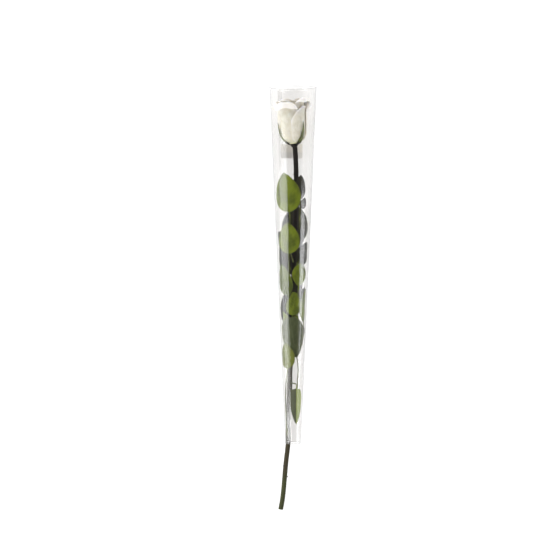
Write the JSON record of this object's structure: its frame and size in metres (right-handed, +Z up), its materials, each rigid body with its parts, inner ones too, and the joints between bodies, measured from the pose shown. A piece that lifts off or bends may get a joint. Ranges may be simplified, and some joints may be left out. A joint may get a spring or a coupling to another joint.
{
  "type": "preserved rose in clear sleeve",
  "caption": "Preserved white rose on a long leafy stem, lying in a clear tapered sleeve that is open at both ends.",
  "frame": {"origin": "middle of the underside of the whole, on the surface that the sleeve lies on", "axes": "+Y along the sleeve from the cut stem towards the bloom, +Z up from the surface, +X to the right seen from above with the bloom at the top"},
  "size_m": [0.0632, 0.566, 0.0631],
  "materials": {
    "clear_sheet": "clear, glossy",
    "label_paper": "matte, blank",
    "stem_bark": "dull bark",
    "sepal_green": "satin leaf",
    "white_petal": "velvety petal",
    "leaf_green": "satin leaf"
  },
  "bodies": {
    "root": {"sleeve": "clear_sheet", "label": "label_paper", "stem": "stem_bark", "calyx": "sepal_green", "bloom": "white_petal", "leaf_1": "leaf_green", "leaf_2": "leaf_green", "leaf_3": "leaf_green", "leaf_4": "leaf_green", "leaf_5": "leaf_green", "leaf_6": "leaf_green", "leaf_7": "leaf_green", "leaf_8": "leaf_green", "leaf_9": "leaf_green", "leaf_10": "leaf_green", "leaf_11": "leaf_green"}
  },
  "joints": []
}
